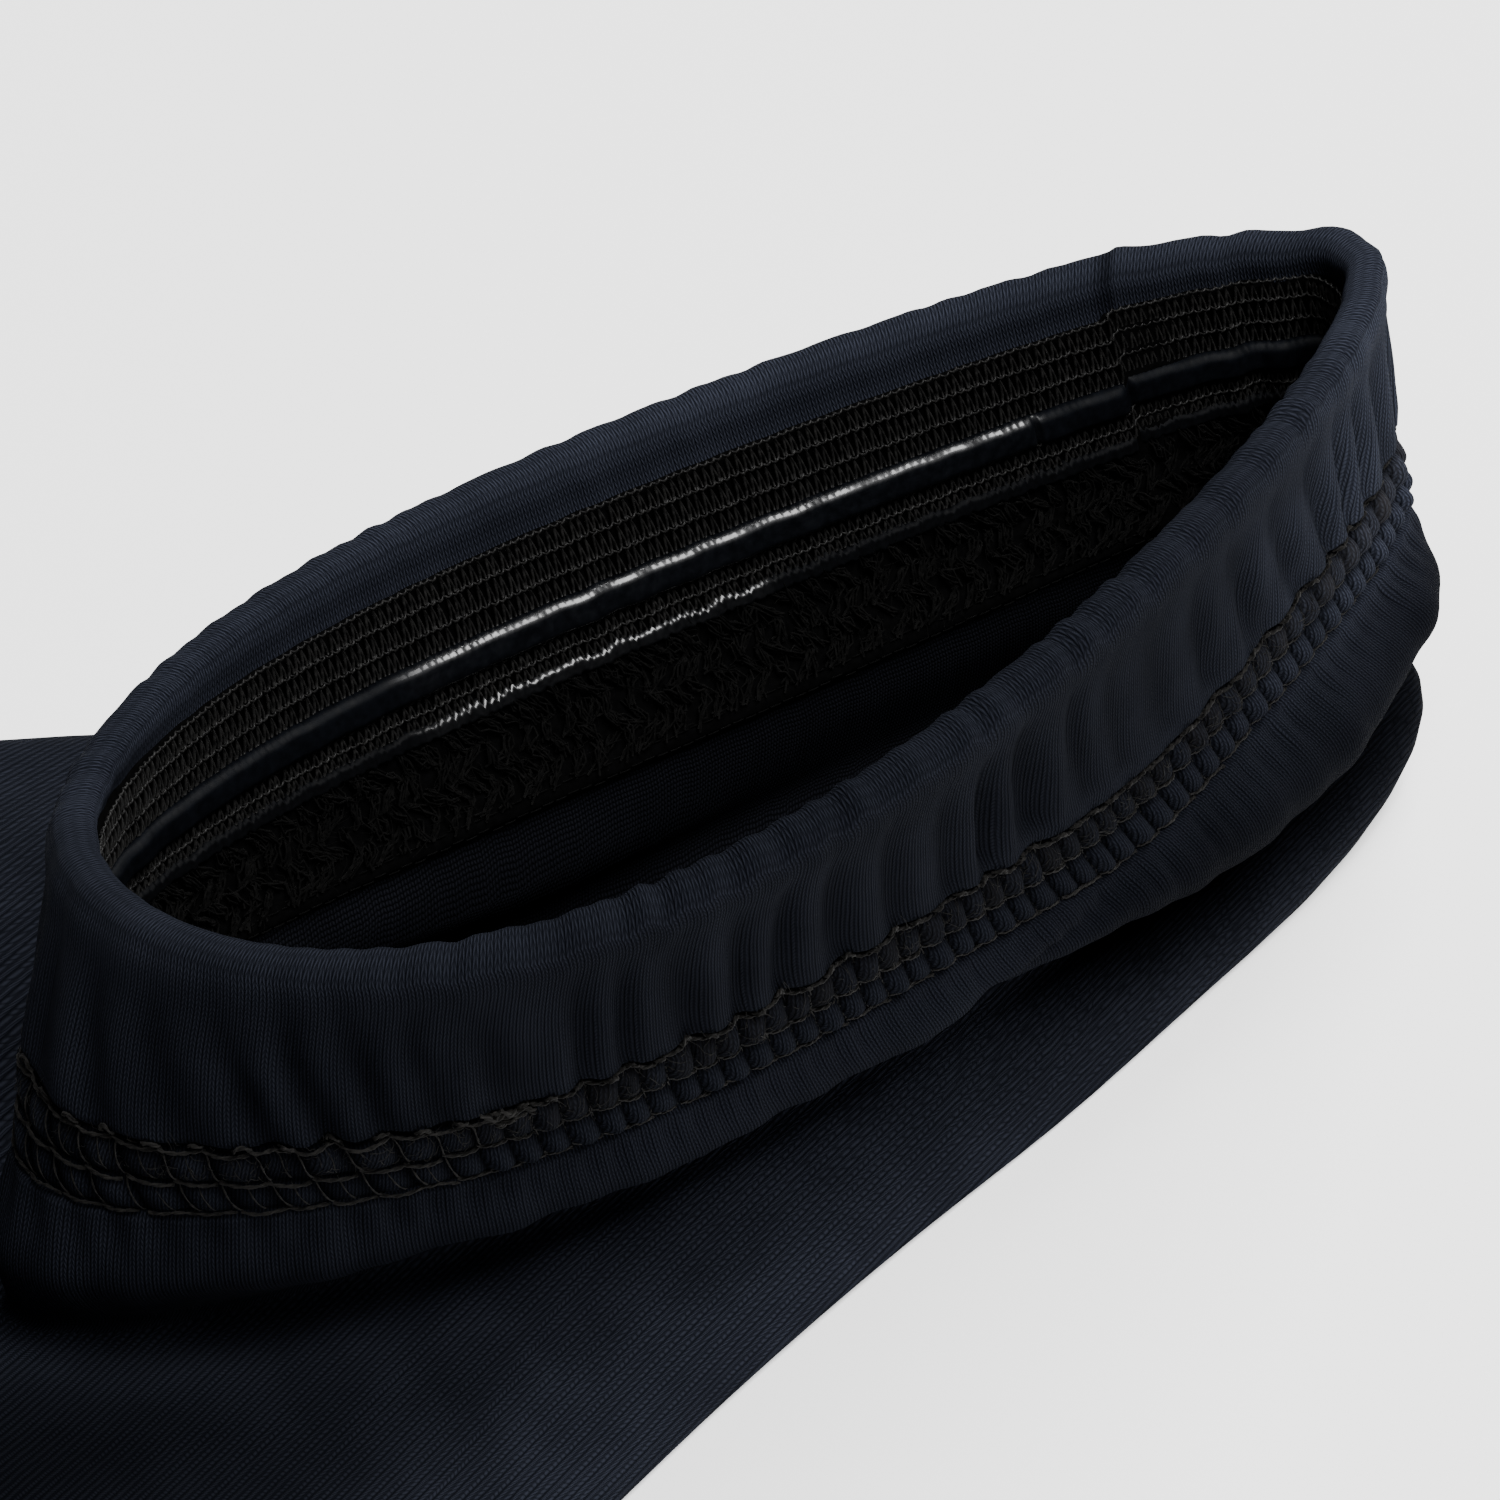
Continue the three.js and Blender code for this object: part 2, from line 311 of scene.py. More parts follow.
def cloth_push():
    """Distance that the outer face stands out from its plain form."""
    front = between(degrees, -150, -100, 72, 105)
    gathered = (0.35 + 0.65 * front) * (1 - 0.35 * bump(degrees, 62, 20))
    strength = np.clip(0.78 + 0.75 * ripple(around, (4, 9, 13), 8), 0.15, 1.6)
    height = (0.22 + 0.78 * smooth_step(row_of, 0.1, 1.4)) * smooth_step(row_of, 2.4, 2.0)
    height = height * (0.45 + 0.55 * smooth_step(row_of, 2.0, 1.7))
    push = 1.2 * gathered * strength * height * (0.3 - gathers)
    push = push + 0.22 * height * gathered * ripple(around, (61, 73, 88, 97), 5)
    sag = stitch_sag(around)
    first, last = stitch_lines[0] + sag, stitch_lines[2] + sag
    push = push - 0.60 * smooth_step(row_of, first - 0.10, first) * smooth_step(row_of, last + 0.10, last)
    puckers = np.sin(2 * math.pi * stitch_cell(around)) * (1 + 0.6 * ripple(around, (13, 29, 47), 23))
    push = push + 0.26 * puckers * bump(row_of, 3.3 + sag, 0.26)
    push = push + 0.45 * bump(row_of, 0.2, 0.28)
    roll = bump(row_of, 3.9, 0.7)
    uneven = 0.40 * ripple(around, (7, 12, 17, 23), 21) + 0.20 * ripple(around, (31, 43, 58), 22)
    push = push + roll * (uneven - 0.35)
    tuck = bump(row_of - 3.95 - 0.055 * (degrees + 19), 0, 0.2) * bump(degrees, -18, 9)
    push = push - 0.9 * tuck
    lying = smooth_step(row_of, 8, 12)
    waves = np.sin(0.9 * row_of + 3 * ripple(around, (2, 3), 31)) * ripple(around, (3, 4, 5), 32)
    push = push + 0.5 * lying * waves
    drag = np.sin(2 * math.pi * 9 * around + 1.1 * row_of) * bump(row_of, 8.5, 3.0)
    push = push + 0.12 * drag
    seam_gap = gap_from(around, seam_around)
    push = push - 0.3 * bump(seam_gap, 0, 0.0022)
    hem_edge = bump(row_of, wrist_lines[0], 0.06) + bump(row_of, wrist_lines[1], 0.05)
    return push - 0.3 * hem_edge


def rim_lift():
    """Scallops of the folded rim over the gathers, as a change of height."""
    front = between(degrees, -85, -50, 34, 62)
    scallop = 0.50 * (0.35 - gathers) + 0.34 * ripple(around, (83, 91, 102), 41)
    knobs = 0.20 * ripple(around, (88, 97, 105), 43) * bump(degrees, 125, 40)
    seam_gap = gap_from(around, seam_around)
    lift = scallop * (0.2 + 0.8 * front) + knobs + 0.4 * bump(seam_gap, 0.002, 0.006)
    sink = 1.3 * bump(degrees, 122, 24) + 0.9 * bump(degrees, -112, 16)
    return lift * smooth_step(row_of, 0.9, 0.0) - sink * smooth_step(row_of, 2.6, 0.0)


def roll_drop():
    """How far the roll under the stitching sinks on the heel side, where it hangs over the lying part."""
    drop = -3.9 * heel_flank * (1 - 0.75 * smooth_step(degrees, -45, -75)) * bump(row_of, 4.75, 1.0)
    return drop + 1.2 * bump(degrees, -86, 14) * bump(row_of, 5.2, 0.8)


def roll_overhang():
    """The roll stands out over the crease below it, most of all on the heel side."""
    front = between(degrees, -60, -25, 40, 75)
    out = 1.5 * heel_flank * (1 - 0.85 * bump(degrees, -92, 20)) * bump(row_of, 4.15, 0.5)
    recess = (3.0 * heel_flank + 0.8 * front) * bump(row_of, 5.6, 0.6)
    shoulder = 0.9 * bump(degrees, -90, 22) * bump(row_of, 6.7, 0.7)
    return out - recess + shoulder


def painted_light_and_shade():
    """Painted light and shade: how much lighter or darker the cloth's colour is than its common tone.
    Slack cloth is painted darker.
    """
    # Slack front of the hem, gathers' valleys, under the roll, left of the cuff's foot, crease below the
    # roll, middle of the lying part and the whole lying part: painted shade. Back of the rim, near edge of
    # the lying part and heel end of the hem: painted light.
    slack_front_shade = between(degrees, -66, -24, 40, 88) * between(row_of, -0.2, 0.2, 4.4, 5.2)
    valley = gathers * between(degrees, -110, -85, 72, 105) * between(row_of, 0.2, 0.9, 1.8, 2.1)
    back = 0.6 * bump(np.abs(degrees), 180, 75) * smooth_step(row_of, 1.0, 0.0)
    under = between(row_of, 3.1, 4.1, 5.1, 5.6) * between(degrees, -100, -80, -34, -12)
    left = bump(degrees, 60, 30) * between(row_of, 5.0, 6.5, 10.5, 12.5)
    crease = between(row_of, 5.0, 5.4, 6.2, 7.4) * between(degrees, -118, -95, -40, 0)
    seen = smooth_step(row_of, 14.5, 12.5)
    near_edge_light = smooth_step(base_face[..., 1], -4, -15) * smooth_step(row_of, 7.0, 8.5) * seen
    middle = bump(base_face[..., 1], 10, 16) * smooth_step(row_of, 6.5, 8.5) * seen
    body = smooth_step(row_of, 6.2, 7.5) * seen
    heel = bump(degrees, -74, 24) * smooth_step(row_of, 3.4, 2.6)
    tone = (1 + back) * (1 - 0.36 * slack_front_shade) * (1 - 0.35 * valley) * (1 - 0.6 * under) * (1 - 0.25 * left)
    tone = tone * (1 - 0.14 * body)
    return tone * (1 - 0.75 * crease) * (1 + 0.5 * near_edge_light) * (1 - 0.42 * middle) * (1 + 1.3 * heel) - 1


# Painted light and shade of the outer cloth, read into the knit's colour
painted_tone_grid = painted_light_and_shade()
push_grid = cloth_push() + roll_overhang()
lift_grid = rim_lift() + roll_drop()


def folded(face, share):
    """A face with the cloth's folds added, by a share of their depth."""
    moved = face + base_normals * (push_grid * np.asarray(share))[..., None]
    moved[..., 2] = np.maximum(moved[..., 2] + lift_grid * np.asarray(share), 0.03)
    return moved


outer_face = folded(base_face, 1.0)
lining_share = 0.75 - 0.5 * smooth_step(row_of, 1.2, 2.2) + 0.5 * smooth_step(row_of, 3.6, 4.6)
inner_face = folded(face_inside(wall_rows), lining_share)
inner_face = inner_face - base_normals * (0.75 * bump(row_of, 0.12, 0.26))[..., None]
around_far = np.mod(degrees, 360)
pocket_fold = bump(row_of, 3.35 + 0.012 * (around_far - 165), 0.3) * bump(around_far, 166, 20)
inner_face = inner_face - base_normals * (1.7 * pocket_fold)[..., None]
inner_face[..., 2] = np.maximum(inner_face[..., 2], outer_face[..., 2].min() + 0.7)
tape_depth = np.maximum(wall_rows, hem_wall) + tape_gap
tape_back = folded(face_inside(tape_depth), 0.45)
tape_face = folded(face_inside(tape_depth + 0.75 * tape_thickness), 0.4)
outer_normals = grid_normals(outer_face)
lining_normals = -grid_normals(tape_face)
course_steps = np.linalg.norm(np.diff(outer_face, axis=0), axis=2)
course_lengths = np.concatenate([np.zeros((1, grid_steps)), np.cumsum(course_steps, axis=0)])


def sample(grid, rows, shares):
    """Values of a grid at table rows and shares of the way round."""
    rows = np.asarray(rows, float)
    place = np.interp(rows, grid_rows, np.arange(len(grid_rows)))
    low = np.clip(np.floor(place).astype(int), 0, len(grid_rows) - 2)
    down = (place - low)[..., None]
    step = np.mod(np.asarray(shares, float), 1) * grid_steps
    left = np.floor(step).astype(int)
    across = (step - left)[..., None]
    left = left % grid_steps
    right = (left + 1) % grid_steps
    upper = grid[low, left] * (1 - across) + grid[low, right] * across
    lower = grid[low + 1, left] * (1 - across) + grid[low + 1, right] * across
    return upper * (1 - down) + lower * down


def on_cloth(rows, shares, height):
    normals = unit(sample(outer_normals, rows, shares))
    return sample(outer_face, rows, shares) + normals * np.asarray(height)[..., None], normals


def tape_shift(shares):
    """The tape's two ends meet a little out of line at the seam."""
    past = np.mod(np.asarray(shares, float) - seam_around, 1)
    return 0.07 * (past - 0.5)


def on_lining(rows, shares, height):
    rows = np.asarray(rows, float) + tape_shift(shares)
    normals = unit(sample(lining_normals, rows, shares))
    return sample(tape_face, rows, shares) + normals * np.asarray(height)[..., None], normals


# Mesh making
def add_piece(name, points, quads, material):
    """A mesh object from points in table millimetres and quads."""
    mesh = bpy.data.meshes.new(name)
    points = points.reshape(-1, 3) + table_to_frame
    points[:, 2] = np.maximum(points[:, 2], 0.01)
    points = points * 0.001
    quads = np.asarray(quads, np.int32)
    mesh.vertices.add(len(points))
    mesh.vertices.foreach_set("co", points.ravel())
    mesh.loops.add(quads.size)
    mesh.loops.foreach_set("vertex_index", quads.ravel())
    mesh.polygons.add(len(quads))
    mesh.polygons.foreach_set("loop_start", np.arange(len(quads), dtype=np.int32) * 4)
    mesh.update(calc_edges=True)
    mesh.validate()
    mesh.polygons.foreach_set("use_smooth", np.full(len(quads), True))
    mesh.materials.append(material)
    piece = bpy.data.objects.new(name, mesh)
    bpy.context.scene.collection.objects.link(piece)
    return piece


def add_tone(piece, name, values):
    """One number for each point of a piece, for its material to read."""
    layer = piece.data.attributes.new(name, "FLOAT", "POINT")
    layer.data.foreach_set("value", values.astype(np.float32).ravel())


def band_quads(ring_count, step_count, closed=True):
    """Quads of a band of rings. A closed band joins its last ring to its first."""
    rings = np.arange(ring_count if closed else ring_count - 1)[:, None]
    steps = np.arange(step_count)[None, :]
    next_rings = (rings + 1) % ring_count
    next_steps = (steps + 1) % step_count
    corners = [
        rings * step_count + steps,
        rings * step_count + next_steps,
        next_rings * step_count + next_steps,
        next_rings * step_count + steps,
    ]
    return np.stack(corners, axis=-1).reshape(-1, 4)


def add_uv(piece, values, step_count, wrap, lying_values, lying_rings):
    """UV layer from one pair of numbers per vertex. Quads that close the round get the wrap added.

    The rings of the lying part take their numbers from a list of their own.
    """
    mesh = piece.data
    corners = np.empty(len(mesh.loops), np.int32)
    mesh.loops.foreach_get("vertex_index", corners)
    uv = values.reshape(-1, 2)[corners].reshape(-1, 4, 2)
    steps = (corners % step_count).reshape(-1, 4)
    crossing = (steps.max(axis=1) == step_count - 1) & (steps.min(axis=1) == 0)
    uv[..., 0] += np.where(crossing[:, None] & (steps == 0), wrap, 0.0)
    rings = np.arange(len(uv)) // step_count
    lying = (rings >= lying_rings[0]) & (rings < lying_rings[1])
    uv[lying] = lying_values.reshape(-1, 2)[corners].reshape(-1, 4, 2)[lying]
    layer = mesh.uv_layers.new(name="knit")
    layer.data.foreach_set("uv", uv.astype(np.float32).ravel())


def tube_parts(paths, normals, radius, sides):
    """Points and quads of closed tubes along paths of equal point counts."""
    count, length = paths.shape[:2]
    tangents = unit(np.gradient(paths, axis=1))
    aside = unit(np.cross(tangents, normals))
    above = np.cross(aside, tangents)
    turns = np.arange(sides) * 2 * math.pi / sides + math.pi / sides
    radius = np.broadcast_to(np.asarray(radius, float), (count, length))[:, :, None, None]
    ring = np.cos(turns)[:, None] * aside[:, :, None] + np.sin(turns)[:, None] * above[:, :, None]
    points = paths[:, :, None] + radius * ring
    quads = band_quads(length, sides, closed=False)
    first_cap = [[0, 3, 2, 1]] if sides == 4 else [[0, 3, 2, 1], [0, 5, 4, 3]]
    last_cap = [[0, 1, 2, 3]] if sides == 4 else [[0, 1, 2, 3], [0, 3, 4, 5]]
    quads = np.concatenate([quads[:, ::-1], first_cap, np.array(last_cap) + (length - 1) * sides])
    starts = np.arange(count)[:, None, None] * length * sides
    return points.reshape(-1, 3), (quads[None] + starts).reshape(-1, 4)


def add_tubes(name, groups, material):
    """One object of many tubes. Each group is paths, normals, radius and sides."""
    all_points = []
    all_quads = []
    offset = 0
    for paths, normals, radius, sides in groups:
        points, quads = tube_parts(paths, normals, radius, sides)
        all_points.append(points)
        all_quads.append(quads + offset)
        offset += len(points)
    return add_piece(name, np.concatenate(all_points), np.concatenate(all_quads), material)


# Materials
def new_material(name, colour, roughness):
    material = bpy.data.materials.new(name)
    material.use_nodes = True
    shader = material.node_tree.nodes["Principled BSDF"]
    shader.inputs["Base Color"].default_value = (*colour, 1)
    shader.inputs["Roughness"].default_value = roughness
    return material, shader


class Nodes:
    """Short calls for a material's node tree."""

    def __init__(self, material):
        self.tree = material.node_tree

    def add(self, kind, **settings):
        node = self.tree.nodes.new(kind)
        for key, value in settings.items():
            setattr(node, key, value)
        return node

    def join(self, source, target):
        self.tree.links.new(source, target)

    def math(self, operation, first, second=None, third=None):
        node = self.add("ShaderNodeMath", operation=operation)
        for socket, value in zip(node.inputs, (first, second, third)):
            if value is None:
                continue
            if isinstance(value, (int, float)):
                socket.default_value = value
            else:
                self.join(value, socket)
        return node.outputs[0]

    def noise(self, scale, detail=2.0):
        node = self.add("ShaderNodeTexNoise")
        node.inputs["Scale"].default_value = scale
        node.inputs["Detail"].default_value = detail
        place = self.add("ShaderNodeTexCoord").outputs["Object"]
        self.join(place, node.inputs["Vector"])
        return node.outputs["Fac"]

    def ramp(self, value, stops):
        node = self.add("ShaderNodeValToRGB")
        while len(node.color_ramp.elements) < len(stops):
            node.color_ramp.elements.new(0.5)
        for element, (position, colour) in zip(node.color_ramp.elements, stops):
            element.position = position
            element.color = (*colour, 1)
        self.join(value, node.inputs["Fac"])
        return node.outputs["Color"]

    def bump(self, height, distance, strength, shader):
        node = self.add("ShaderNodeBump")
        node.inputs["Distance"].default_value = distance
        node.inputs["Strength"].default_value = strength
        self.join(height, node.inputs["Height"])
        self.join(node.outputs["Normal"], shader.inputs["Normal"])


def knit_material(name, dark, light, slant, stitch_share):
    """Weft knit: two leaning legs to each wale, one V to each course."""
    material, shader = new_material(name, light, 0.78)
    shader.inputs["Sheen Weight"].default_value = 0.006
    shader.inputs["Sheen Roughness"].default_value = 0.4
    shader.inputs["Sheen Tint"].default_value = (0.70, 0.76, 0.95, 1)
    shader.inputs["Specular IOR Level"].default_value = 0.004
    nodes = Nodes(material)
    place = nodes.add("ShaderNodeUVMap", uv_map="knit")
    split = nodes.add("ShaderNodeSeparateXYZ")
    nodes.join(place.outputs["UV"], split.inputs[0])
    wander = nodes.noise(900.0, 1.0)
    wales = nodes.math("ADD", split.outputs["X"], nodes.math("MULTIPLY", wander, 0.12))
    inside = nodes.math("SUBTRACT", nodes.math("FRACT", wales), 0.5)
    aside = nodes.math("ABSOLUTE", inside)
    leg = nodes.math("SINE", nodes.math("MULTIPLY", aside, 2 * math.pi))
    leg = nodes.math("POWER", nodes.math("MAXIMUM", leg, 0.0), 0.7)
    leg = nodes.math("MAXIMUM", leg, nodes.math("MULTIPLY_ADD", aside, -1.2, 0.6))
    phase = nodes.math("MULTIPLY_ADD", aside, slant, split.outputs["Y"])
    loop = nodes.math("ABSOLUTE", nodes.math("SINE", nodes.math("MULTIPLY", phase, math.pi)))
    loop = nodes.math("POWER", loop, 0.6)
    loop = nodes.math("MULTIPLY_ADD", loop, stitch_share, 1 - stitch_share)
    height = nodes.math("MULTIPLY", leg, loop)
    broad = nodes.noise(160.0, 3.0)
    # Painted shade: darker colour in the grooves between the yarn legs; the broad noise is uneven dye
    shade = nodes.math("MULTIPLY_ADD", nodes.math("SUBTRACT", broad, 0.5), 0.5, height)
    middle = tuple(0.38 * value for value in light)
    colour = nodes.ramp(shade, [(0.10, dark), (0.55, middle), (1.0, light)])
    blend = nodes.add("ShaderNodeMix", data_type="RGBA")
    blend.inputs[7].default_value = (0.0075, 0.0068, 0.0062, 1)
    nodes.join(nodes.add("ShaderNodeAttribute", attribute_name="nap").outputs["Fac"], blend.inputs[0])
    nodes.join(colour, blend.inputs[6])
    # The fade attribute holds painted light and shade, which scales the knit's colour
    fade = nodes.add("ShaderNodeAttribute", attribute_name="fade").outputs["Fac"]
    painted_light_scale = nodes.add("ShaderNodeVectorMath", operation="SCALE")
    nodes.join(blend.outputs[2], painted_light_scale.inputs[0])
    nodes.join(nodes.math("ADD", fade, 1.0), painted_light_scale.inputs["Scale"])
    nodes.join(painted_light_scale.outputs[0], shader.inputs["Base Color"])
    nodes.bump(height, 0.00013, 0.9, shader)
    return material


def yarn_material(name, dark, light, roughness, scale, shine=0.12):
    """Twisted yarn: fine lengthwise streaks and uneven dye."""
    material, shader = new_material(name, light, roughness)
    shader.inputs["Sheen Weight"].default_value = 0.1 * shine
    shader.inputs["Sheen Roughness"].default_value = 0.4
    shader.inputs["Specular IOR Level"].default_value = shine
    nodes = Nodes(material)
    fibres = nodes.noise(scale, 3.0)
    colour = nodes.ramp(fibres, [(0.3, dark), (0.7, light)])
    nodes.join(colour, shader.inputs["Base Color"])
    nodes.bump(fibres, 0.00008, 0.8, shader)
    return material


def silicone_material(name, colour, roughness, grain):
    """Dark rubbery silicone with small bubbles. Its worn lengths are dull."""
    material, shader = new_material(name, colour, roughness)
    shader.inputs["Coat Roughness"].default_value = 0.12
    nodes = Nodes(material)
    dull = nodes.add("ShaderNodeAttribute", attribute_name="dull").outputs["Fac"]
    nodes.join(nodes.math("MULTIPLY_ADD", dull, -0.5, 0.5), shader.inputs["Coat Weight"])
    nodes.join(nodes.math("MULTIPLY_ADD", dull, -0.34, 0.4), shader.inputs["Specular IOR Level"])
    specks = nodes.noise(grain, 2.0)
    uneven = nodes.math("MULTIPLY_ADD", specks, 0.25, roughness - 0.1)
    uneven = nodes.math("MULTIPLY_ADD", dull, 0.22, uneven)
    nodes.join(uneven, shader.inputs["Roughness"])
    darker = tuple(0.6 * value for value in colour)
    nodes.join(nodes.ramp(specks, [(0.35, darker), (0.7, colour)]), shader.inputs["Base Color"])
    nodes.bump(specks, 0.00005, 0.5, shader)
    return material


def grey(level):
    return (level, level, level)


knit_face = knit_material("knit_face", (0.0034, 0.0040, 0.0057), (0.0132, 0.0149, 0.0212), -2.0, 0.5)
knit_back = knit_material("knit_back", (0.0013, 0.0014, 0.0018), (0.0066, 0.0070, 0.0094), 0.4, 0.8)
stitch_yarn = yarn_material("stitch_yarn", (0.0010, 0.0009, 0.0009), (0.0110, 0.0103, 0.0095), 0.8, 2600.0)
edge_yarn = yarn_material("edge_yarn", grey(0.0003), grey(0.0012), 0.85, 2600.0, 0.05)
tape_weave = yarn_material("tape_weave", grey(0.0003), (0.0011, 0.0011, 0.0012), 0.95, 1800.0, 0.03)
tape_yarn = yarn_material("tape_yarn", grey(0.0016), (0.0110, 0.0107, 0.0103), 0.45, 2600.0, 0.18)
woolly_yarn = yarn_material("woolly_yarn", grey(0.0003), (0.0032, 0.0031, 0.0030), 0.95, 3000.0, 0.05)
silicone_upper = silicone_material("silicone_upper", (0.0015, 0.0020, 0.0032), 0.34, 1500.0)
silicone_lower = silicone_material("silicone_lower", (0.0012, 0.0014, 0.0020), 0.42, 2200.0)


# The sleeve: outer face, rounded rim, inner face and the turned edge of the wrist
def row_runs(runs):
    """Table rows in runs of start, end and count. Only the last run holds its own end."""
    spans = [np.linspace(*run, endpoint=False) for run in runs[:-1]]
    return np.concatenate([*spans, np.linspace(*runs[-1])])


def sleeve_piece():
    cuff_runs = [(0, 1.8, 34), (1.8, 3.4, 44), (3.4, 6, 34)]
    outer_rows = row_runs([*cuff_runs, (6, 13, 36), (13, 17, 14), (17, last_row, 12)])
    inner_rows = row_runs([(0, 1, 12), (1, 6, 20), (6, 13, 12), (13, last_row, 8)])[::-1]
    shares = around[::2]

    def rings(grid, rows):
        wide = np.repeat(shares[None], len(rows), 0)
        return sample(grid, np.repeat(rows[:, None], len(shares), 1), wide)

    def fold_rings(row, lift, out, count):
        """Rounded fold that joins the inner face's edge to the outer face's."""
        start = rings(inner_face, np.array([row]))[0]
        end = rings(outer_face, np.array([row]))[0]
        folds = []
        for turn in np.arange(1, count) * math.pi / count:
            share = 0.5 - 0.5 * math.cos(turn)
            folds.append(start + (end - start) * share + np.array(out) * lift * math.sin(turn))
        return np.array(folds)

    outer = rings(outer_face, outer_rows)
    inner = rings(inner_face, inner_rows)
    wrist = fold_rings(last_row, 0.6, (-1, 0, 0), 6)[::-1]
    rim = fold_rings(0, rim_rise + 0.2, (0, 0, 1), 8)
    points = np.concatenate([outer, wrist, inner, rim])
    lengths = course_lengths[..., None]
    down = rings(lengths, outer_rows)[..., 0]
    turned = inner_rows[:, None] < lining_row
    up = (-rings(lengths, inner_rows)[..., 0] - rim_arc) / np.where(turned, turned_pitch, course_pitch)
    wrist_down = np.repeat(down[-1][None], len(wrist), 0)
    rim_down = np.linspace(-rim_arc, 0, len(rim) + 2)[1:-1, None] + np.zeros(len(shares))
    outer_along = np.concatenate([down, wrist_down]) / course_pitch
    along = np.concatenate([outer_along, up, rim_down / turned_pitch])
    wales = np.repeat((shares * wale_count)[None], len(points), 0)
    quads = band_quads(len(points), len(shares))
    piece = add_piece("sleeve_cloth", points, quads, knit_face)
    side = 1 - 2 * smooth_step(points[..., 1], -10, 85)
    lying_wales = (points[..., 1] + 0.6 * side * points[..., 2]) / lying_pitch
    lying_rings = (int(np.searchsorted(outer_rows, lying_row)), len(outer) - 1)
    cuff_values = np.stack([wales, along], axis=-1)
    lying_values = np.stack([lying_wales, along], axis=-1)
    add_uv(piece, cuff_values, len(shares), wale_count, lying_values, lying_rings)
    seam_gap = gap_from(shares, seam_around)
    seam_line = 1 - 0.62 * bump(seam_gap, 0, 0.0022)
    # Painted light on the turned strip inside the cuff, near twice the common tone; the seam shows as a
    # darker line
    strip = np.where(turned, 1.85 * seam_line, 1.0) - 1
    rim_angle = rings(degrees[..., None], np.array([0.0]))[..., 0]
    # Painted light and shade on the rim: lighter at the back and at the heel end, darker at the front
    rim_light_and_shade = 1 + 0.5 * bump(np.abs(rim_angle), 180, 75) - 0.35 * bump(rim_angle, 0, 60)
    rim_painted_tone = (rim_light_and_shade + 0.8 * bump(rim_angle, -78, 26)) * seam_line - 1
    # Painted light and shade for each ring, carried by the fade attribute
    painted_tones = [
        rings(painted_tone_grid[..., None], outer_rows)[..., 0],
        np.zeros((len(wrist), len(shares))),
        strip,
        np.repeat(rim_painted_tone, len(rim), 0),
    ]
    add_tone(piece, "fade", np.concatenate(painted_tones))
    piece.data.materials.append(knit_back)
    ring_kind = np.zeros(len(points), np.int32)
    inner_start = len(outer) + len(wrist)
    ring_kind[inner_start:inner_start + len(inner)] = (inner_rows > lining_row).astype(np.int32)
    piece.data.polygons.foreach_set("material_index", np.repeat(ring_kind, len(shares)))
    return piece


# Cover stitching round the foot of the hem: three needle lines and the thread that zigzags over them
def plied(paths, normals, radius, plies, twist):
    """Tubes for the plies that twist round each path."""
    tangents = unit(np.gradient(paths, axis=1))
    aside = unit(np.cross(tangents, normals))
    above = np.cross(aside, tangents)
    turns = random.uniform(0, 2 * math.pi, (len(paths), 1))
    turns = turns + twist * 2 * math.pi * np.linspace(0, 1, paths.shape[1])
    groups = []
    for ply in range(plies):
        turn = (turns + 2 * math.pi * ply / plies)[..., None]
        offset = aside * np.cos(turn) + above * np.sin(turn)
        groups.append((paths + 0.5 * np.asarray(radius)[..., None] * offset, normals, 0.6 * radius, 4))
    return groups


def low_at_heel(shares):
    """Share of a thread's height that is left at the sharp heel end, where it lies tight on the cloth."""
    return 1 - 0.75 * bump(gap_from(shares, heel_around), 0, 0.05)


def needle_stitches():
    """The needle threads: one short raised run to each stitch of each line."""
    run = np.linspace(0, 1, 9)
    groups = []
    for line in range(3):
        shares = needle_places[:, None] + needle_gaps * (0.02 + 0.98 * run - puff_lean * line)
        rows = band_row(float(line), shares) + random.normal(0, 0.010, (len(shares), 1))
        rows = rows + 0.05 * (0.5 - run)
        height = 0.12 + 0.22 * long_stitch(shares) + 0.30 * arch(run) ** 0.7
        height = height * random.uniform(0.8, 1.2, (len(shares), 1)) * low_at_heel(shares)
        paths, normals = on_cloth(rows, shares, height)
        thick = (0.17, 0.16, 0.15)[line] * (1 - 0.12 * long_stitch(shares))
        groups += plied(paths, normals, thick, 2, 1.6)
    return groups


def cover_threads():
    """The cover thread's strands, that run down the grooves between the puffs from line to line."""
    run = np.linspace(0, 1, 10)
    groups = []
    for ladder in (0, 1):
        for offset, spread, thick in ((-0.05, 0.0, 0.10), (0.06, 0.42, 0.085)):
            longer = long_stitch(needle_places)[:, None]
            lean = puff_lean * (1 + 0.1 * longer)
            start = offset + spread * longer
            shares = needle_places[:, None] + needle_gaps * (start - lean * run - puff_lean * ladder)
            shares = shares + needle_gaps * random.normal(0, 0.03, (len(needle_gaps), 1)) * run
            rows = band_row(ladder + 0.02 + 0.96 * run, shares)
            height = 0.14 + (0.10 + 0.50 * long_stitch(shares)) * arch(run) ** 0.7
            paths, normals = on_cloth(rows, shares, height * low_at_heel(shares))
            groups += plied(paths, normals, thick * (1 - 0.4 * long_stitch(shares)), 2, 1.2)
    return groups


def nap_fibres():
    """Short loose fibres on the puffs of the upper row."""
    count = 1150
    run = np.linspace(0, 1, 4)
    start = random.uniform(0, 1, (count, 1))
    shares = start + random.normal(0, 0.0022, (count, 1)) * run + random.normal(0, 0.0003, (count, 4))
    places = random.uniform(-0.05, 0.8, (count, 1)) + random.normal(0, 0.22, (count, 1)) * run
    height = band_height(np.clip(places, 0, 2), shares) + 0.05 + 0.12 * arch(run)
    paths, normals = on_cloth(band_row(places, shares), shares, height * low_at_heel(shares))
    return [(paths, normals, 0.026 * (1 - 0.5 * run), 4)]


